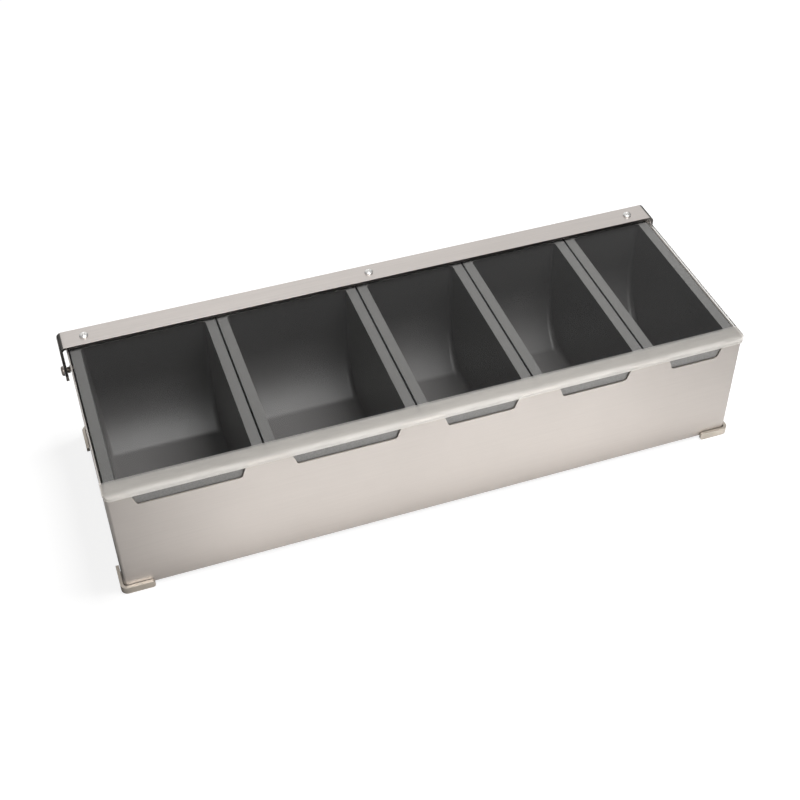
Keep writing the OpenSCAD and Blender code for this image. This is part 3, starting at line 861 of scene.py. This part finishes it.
def row_tree(name):
    """Geometry nodes: a fastener repeated on a grid of rows and columns, each turned at random."""
    tree = bpy.data.node_groups.new(name, "GeometryNodeTree")
    sockets = [
        ("Geometry", "INPUT", "NodeSocketGeometry"), ("First place", "INPUT", "NodeSocketVector"),
        ("Across", "INPUT", "NodeSocketInt"), ("Step across", "INPUT", "NodeSocketFloat"),
        ("Deep", "INPUT", "NodeSocketInt"), ("Step deep", "INPUT", "NodeSocketFloat"),
        ("Seed", "INPUT", "NodeSocketInt"), ("Finish", "INPUT", "NodeSocketMaterial"),
        ("Geometry", "OUTPUT", "NodeSocketGeometry")]
    for label, way, kind in sockets:
        tree.interface.new_socket(label, in_out=way, socket_type=kind)
    add = blank_nodes(tree)
    given = add("NodeGroupInput")
    right = add("ShaderNodeCombineXYZ", X=given.outputs["Step across"])
    back = add("ShaderNodeCombineXYZ", Y=given.outputs["Step deep"])
    row = add("GeometryNodeMeshLine", {"mode": "OFFSET"}, Count=given.outputs["Across"],
              Start_Location=given.outputs["First place"], Offset=right.outputs[0])
    column = add("GeometryNodeMeshLine", {"mode": "OFFSET"}, Count=given.outputs["Deep"],
                 Offset=back.outputs[0])
    spread = add("GeometryNodeInstanceOnPoints", Points=row.outputs[0], Instance=column.outputs[0])
    spots = add("GeometryNodeRealizeInstances", Geometry=spread.outputs[0])
    turn = add("FunctionNodeRandomValue", {"data_type": "FLOAT"}, i2=0.0, i3=2 * math.pi,
               Seed=given.outputs["Seed"])
    facing = add("ShaderNodeCombineXYZ", Z=turn.outputs[1])
    placed = add("GeometryNodeInstanceOnPoints", Points=spots.outputs[0],
                 Instance=given.outputs["Geometry"], Rotation=facing.outputs[0])
    real = add("GeometryNodeRealizeInstances", Geometry=placed.outputs[0])
    done = add("GeometryNodeSetMaterial", Geometry=real.outputs[0],
               Material=given.outputs["Finish"])
    add("NodeGroupOutput", Geometry=done.outputs[0])
    return tree


fastener_rows = row_tree("fastener_rows")


def repeated(name, blank, values):
    """Runs the fastener rows on a blank and returns the result as one plain mesh object."""
    rows = blank.modifiers.new("rows", "NODES")
    rows.node_group = fastener_rows
    for item in fastener_rows.interface.items_tree:
        if item.in_out == "INPUT" and item.name in values:
            rows[item.identifier] = values[item.name]
    evaluated = blank.evaluated_get(bpy.context.evaluated_depsgraph_get())
    ready = bpy.data.meshes.new_from_object(evaluated)
    ready.name = name
    blank.modifiers.clear()
    piece = bpy.data.objects.new(name, ready)
    bpy.context.scene.collection.objects.link(piece)
    bpy.data.objects.remove(blank)
    return smoothed(piece, turned_crease)


lid_rivets = repeated("lid_rivets", rivet, {
    "First place": rivet_spot, "Across": 3, "Step across": rivet_step,
    "Deep": 1, "Step deep": 0.0, "Seed": 4, "Finish": bright_steel})
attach(lid_rivets, "lid")
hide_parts(*rivet_nodes)


# ---- Pivots ----------------------------------------------------------------------------------
# A domed socket screw on each side goes through the arm, a ridged spacer and the side wall,
# into a lock nut inside the tray. The screw is darkened steel, the spacer and nut dull zinc.

screw_r = 1.5 * mm
screw_tip = 0.3 * mm
screw_head_thin = 0.5 * mm
screw_crown = 1.9 * mm
screw_gap = 0.1 * mm
socket_r = 1.45 * mm
socket_draft = 0.05 * mm
socket_ease = 0.1 * mm
socket_deep = 0.9 * mm
socket_point = 0.2 * mm
pivot_sides = 48
pivot_bore = 1.55 * mm
pivot_weld = 0.001 * mm
spacer_ridges = 5
spacer_groove = 0.3 * mm
spacer_rise, spacer_top, spacer_fall = 0.35, 0.60, 0.98
nut_bevel = 0.5 * mm
nut_bevel_tall = 0.3 * mm
collar_tall = 0.6 * mm
collar_draft = 0.1 * mm
collar_ease = 0.9 * mm
collar_ease_tall = 0.15 * mm
zinc_steel = plated("zinc_steel", (0.27, 0.24, 0.21, 1.0), roughness=0.38, speckle=0.08)
screw_steel = plated("screw_steel", (0.34, 0.30, 0.27, 1.0), roughness=0.32, speckle=0.06)


def welded(piece):
    """Joins a turned ring's first and last loops, so that it is one closed skin."""
    bm = bmesh.new()
    bm.from_mesh(piece.data)
    bmesh.ops.remove_doubles(bm, verts=bm.verts, dist=pivot_weld)
    bmesh.ops.recalc_face_normals(bm, faces=bm.faces)
    bm.to_mesh(piece.data)
    bm.free()
    return piece


def on_axis(piece, side, spot):
    """Turns a piece from standing on Z to lying along X, head outwards, at spot."""
    outward = Matrix.Rotation(math.pi / 2 * side, 4, "Y")
    piece.data.transform(Matrix.Translation(spot) @ outward)
    return piece


for side, word in ((-1, "left"), (1, "right")):
    low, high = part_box(f"pivot_screw_{word}")
    axis = Vector((0, (low.y + high.y) / 2, (low.z + high.z) / 2))
    head = (high.y - low.y) / 2
    outer, tip = (high.x, low.x) if side > 0 else (-low.x, -high.x)
    arm_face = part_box("hinge_bar")[1].x if side > 0 else -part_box("hinge_bar")[0].x
    seat = arm_face + screw_gap
    screw = turned(f"pivot_screw_head_{word}", [
        (0, tip), (screw_r - screw_tip, tip), (screw_r, tip + screw_tip), (screw_r, seat),
        (head, seat)] + arc(head, seat + screw_head_thin, screw_crown, outer) + [
        (socket_r, outer - socket_ease, 1.0),
        (socket_r - socket_draft, outer - socket_deep, 1.0),
        (0, outer - socket_deep - socket_point)], sides=pivot_sides)
    on_axis(screw, side, axis)
    screw.data.materials.append(screw_steel)
    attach(screw, "tray")
    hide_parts(f"pivot_screw_{word}")

    low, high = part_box(f"pivot_spacer_{word}")
    near, far = (low.x, high.x) if side > 0 else (-high.x, -low.x)
    body = (high.y - low.y) / 2
    groove = body - spacer_groove
    ridge = []
    for k in range(spacer_ridges):
        start = near + (far - near) * k / spacer_ridges
        step = (far - near) / spacer_ridges
        ridge += [(groove, start), (body, start + step * spacer_rise),
                  (body, start + step * spacer_top), (groove, start + step * spacer_fall)]
    spacer = welded(turned(
        f"pivot_sleeve_{word}",
        [(pivot_bore, near)] + ridge + [(pivot_bore, far), (pivot_bore, near)]))
    on_axis(spacer, side, axis)
    spacer.data.materials.append(zinc_steel)
    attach(spacer, "tray")
    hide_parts(f"pivot_spacer_{word}")

    low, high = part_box(f"lock_nut_{word}")
    far, near = (high.x, low.x) if side > 0 else (-low.x, -high.x)
    corner = (high.z - low.z) / 2
    collar = corner - nut_bevel
    nut = welded(turned(f"lock_nut_hex_{word}", [
        (pivot_bore, far), (collar, far), (corner, far - nut_bevel_tall, 1.0),
        (corner, near + collar_tall + nut_bevel_tall, 1.0), (collar, near + collar_tall),
        (collar - collar_draft, near + collar_ease_tall), (corner - collar_ease, near),
        (pivot_bore, near), (pivot_bore, far)], sides=pivot_sides))
    on_axis(nut, side, axis)
    nut.data.materials.append(zinc_steel)
    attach(nut, "tray")
    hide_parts(f"lock_nut_{word}")


# ---- Feet ------------------------------------------------------------------------------------
# Four feet of nickel-plated strap, each bent round a corner of the tray and carried by a plate
# under it. One rivet holds each plate to the tray's floor.

foot_edge = 0.5 * mm
foot_rivet_sides = 28
foot_rivet_crown = 0.4 * mm
nickel_steel = plated("nickel_steel", (0.61, 0.559, 0.496, 1.0), roughness=0.52, speckle=0.05)

for corner in ("front_left", "front_right", "back_left", "back_right"):
    foot = eased(copied(f"strap_foot_{corner}", f"foot_{corner}"), foot_edge, rounds=3)
    foot.data.materials.clear()
    foot.data.materials.append(nickel_steel)
    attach(foot, "tray")
    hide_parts(f"foot_{corner}")

low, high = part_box("foot_rivets")
head_r = 2.6 * mm
tail_r = 2.2 * mm
shank_r = 1.5 * mm
tail_h = 0.6 * mm
head_h = 1.0 * mm
head_low = high.z - head_h
foot_rivet = turned("foot_rivet_blank", [
    (0, low.z), (tail_r - rivet_ease, low.z), (tail_r, low.z + rivet_ease),
    (tail_r, low.z + tail_h), (shank_r, low.z + tail_h), (shank_r, head_low),
    (head_r, head_low)] + arc(head_r, head_low + rivet_ease, foot_rivet_crown, high.z) + [
    (0, high.z)], sides=foot_rivet_sides)
foot_rivet_row = repeated("foot_rivet_set", foot_rivet, {
    "First place": Vector((low.x + head_r, low.y + head_r, 0)),
    "Across": 2, "Step across": high.x - low.x - 2 * head_r,
    "Deep": 2, "Step deep": high.y - low.y - 2 * head_r, "Seed": 9, "Finish": nickel_steel})
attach(foot_rivet_row, "tray")
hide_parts("foot_rivets")
